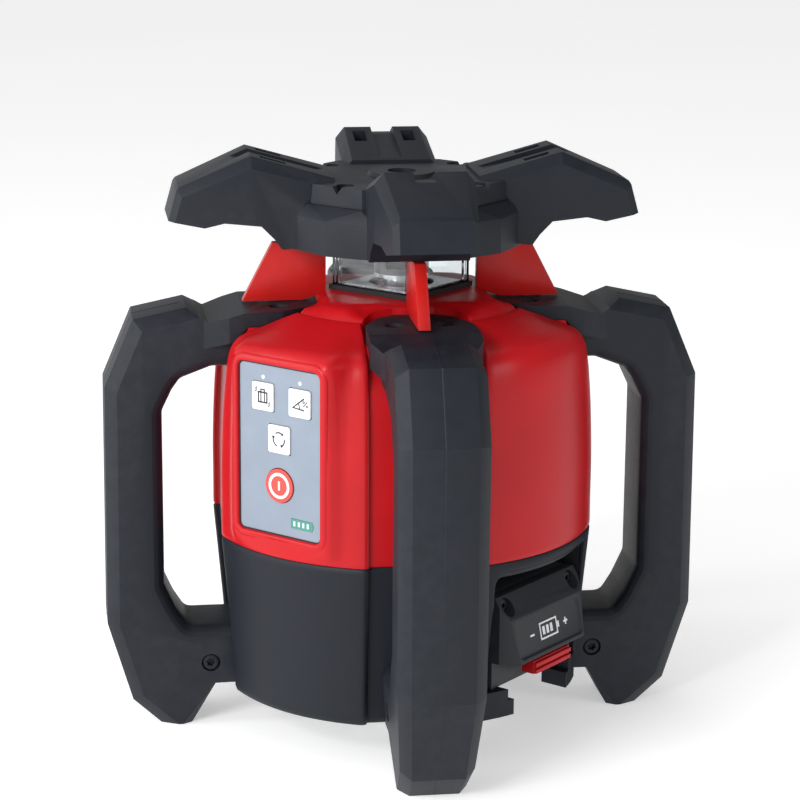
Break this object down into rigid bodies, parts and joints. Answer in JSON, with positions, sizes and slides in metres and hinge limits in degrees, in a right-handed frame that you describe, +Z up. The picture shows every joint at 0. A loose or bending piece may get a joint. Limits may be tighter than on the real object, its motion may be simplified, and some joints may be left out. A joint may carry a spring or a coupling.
{
  "type": "rotating laser level",
  "caption": "Four-handled construction laser with a red and charcoal housing, keypad, slide-in battery, winged protective cap and a self-levelling spinning prism head.",
  "frame": {"origin": "on the spin axis, at the height of the four handle feet", "axes": "+Z up along the spin axis; +X and +Y through two neighbouring handles, with the keypad between -X and -Y and the battery between -Y and +X"},
  "size_m": [0.2516, 0.2516, 0.2443],
  "materials": {
    "charcoal_shell": "fine-textured charcoal moulding",
    "charcoal_grip": "soft charcoal grip with a fine spark-eroded texture",
    "charcoal_cap": "fine-textured charcoal moulding",
    "red_shell": "satin red moulding",
    "red_cage": "satin red moulding",
    "black_rubber": "matt black rubber",
    "black_plastic": "matt black moulding",
    "battery_plastic": "fine-textured dark grey moulding",
    "red_latch": "satin red moulding",
    "clear_glass": "clear glass, faint green edge",
    "coated_glass": "coated optical glass",
    "vial_glass": "clear vial with green fluid",
    "bright_plate": "bright anodised plate",
    "keypad_film": "blue-grey membrane film",
    "led_lens": "milky light window",
    "gauge_green": "green light window",
    "key_white": "printed white key",
    "key_red": "printed red and white key",
    "circuit_board": "green solder mask",
    "ivory_plastic": "ivory moulding",
    "cast_aluminium": "fine cast and machined",
    "dark_aluminium": "dark anodised",
    "brass": "turned brass",
    "motor_can": "drawn steel can",
    "bearing_steel": "ground steel",
    "cell_wrap": "shrink-wrapped cell",
    "dark_screw": "blackened steel"
  },
  "bodies": {
    "housing": {"base_shell": "charcoal_shell", "upper_shell": "red_shell", "housing_seal": "black_rubber", "housing_screws": "dark_screw", "handle_front": "charcoal_grip", "handle_right": "charcoal_grip", "handle_back": "charcoal_grip", "handle_left": "charcoal_grip", "handle_top_screws": "dark_screw", "handle_side_screws": "dark_screw", "head_cage": "red_cage", "head_cap": "charcoal_cap", "cap_screws": "dark_screw", "lantern_gasket": "black_rubber", "deck_plate": "bright_plate", "lantern_panes": "clear_glass", "lantern_posts": "clear_glass", "lantern_top": "black_plastic", "plumb_window": "clear_glass", "keypad_panel": "keypad_film", "led_windows": "led_lens", "gauge_window": "gauge_green", "keypad_board": "circuit_board", "tripod_plate": "cast_aluminium", "tripod_insert": "brass", "tripod_plate_screws": "dark_screw", "battery_bay": "black_plastic", "contact_block": "ivory_plastic", "contact_blades": "brass", "gimbal_frame": "cast_aluminium", "frame_screws": "dark_screw", "levelling_motors": "motor_can", "main_board": "circuit_board", "board_spacers": "brass"},
    "gimbal_ring": {"gimbal_ring": "cast_aluminium", "outer_pins": "brass", "inner_pins": "brass"},
    "laser_module": {"laser_tube": "dark_aluminium", "laser_diode": "brass", "collimator_lens": "coated_glass", "level_vials": "vial_glass", "spindle_bearings": "bearing_steel", "spin_motor": "motor_can", "drive_belt": "black_rubber"},
    "rotor": {"rotor_spindle": "bearing_steel", "encoder_disc": "coated_glass", "prism_holder": "dark_aluminium", "prism": "coated_glass"},
    "motor_shaft": {"motor_pulley": "brass"},
    "shock_key": {"key_shock": "key_white"},
    "slope_key": {"key_slope": "key_white"},
    "rotate_key": {"key_rotate": "key_white"},
    "power_key": {"key_power": "key_red"},
    "battery": {"battery_case": "battery_plastic", "battery_cover": "battery_plastic", "battery_screws": "dark_screw", "battery_cells": "cell_wrap", "battery_contacts": "brass"},
    "latch": {"battery_latch": "red_latch"}
  },
  "joints": [
    {"name": "ring_tilt", "type": "hinge", "parent": "housing", "child": "gimbal_ring", "pos_m": [0, 0, 0.158], "axis": [1, 0, 0], "range_deg": [-5, 5]},
    {"name": "module_tilt", "type": "hinge", "parent": "gimbal_ring", "child": "laser_module", "pos_m": [0, 0, 0.158], "axis": [0, 1, 0], "range_deg": [-5, 5]},
    {"name": "rotor_spin", "type": "hinge", "parent": "laser_module", "child": "rotor", "pos_m": [0, 0, 0.158], "axis": [0, 0, 1], "continuous": true},
    {"name": "motor_spin", "type": "hinge", "parent": "laser_module", "child": "motor_shaft", "pos_m": [0.0236, 0, 0.17], "axis": [0, 0, 1], "continuous": true},
    {"name": "shock_press", "type": "slide", "parent": "housing", "child": "shock_key", "axis": [0.7071, 0.7071, 0], "range_m": [0, 0.0005], "stiffness_N_per_m": 800, "springref_m": -0.0005},
    {"name": "slope_press", "type": "slide", "parent": "housing", "child": "slope_key", "axis": [0.7071, 0.7071, 0], "range_m": [0, 0.0005], "stiffness_N_per_m": 800, "springref_m": -0.0005},
    {"name": "rotate_press", "type": "slide", "parent": "housing", "child": "rotate_key", "axis": [0.7071, 0.7071, 0], "range_m": [0, 0.0005], "stiffness_N_per_m": 800, "springref_m": -0.0005},
    {"name": "power_press", "type": "slide", "parent": "housing", "child": "power_key", "axis": [0.7071, 0.7071, 0], "range_m": [0, 0.0005], "stiffness_N_per_m": 800, "springref_m": -0.0005},
    {"name": "battery_slide", "type": "slide", "parent": "housing", "child": "battery", "axis": [0.7071, -0.7071, 0], "range_m": [0, 0.06]},
    {"name": "latch_press", "type": "slide", "parent": "battery", "child": "latch", "axis": [-0.7071, 0.7071, 0], "range_m": [0, 0.002], "stiffness_N_per_m": 600, "springref_m": -0.001}
  ],
  "couplings": [
    {"joint": "motor_spin", "follows": "rotor_spin", "ratio": 2.6}
  ]
}
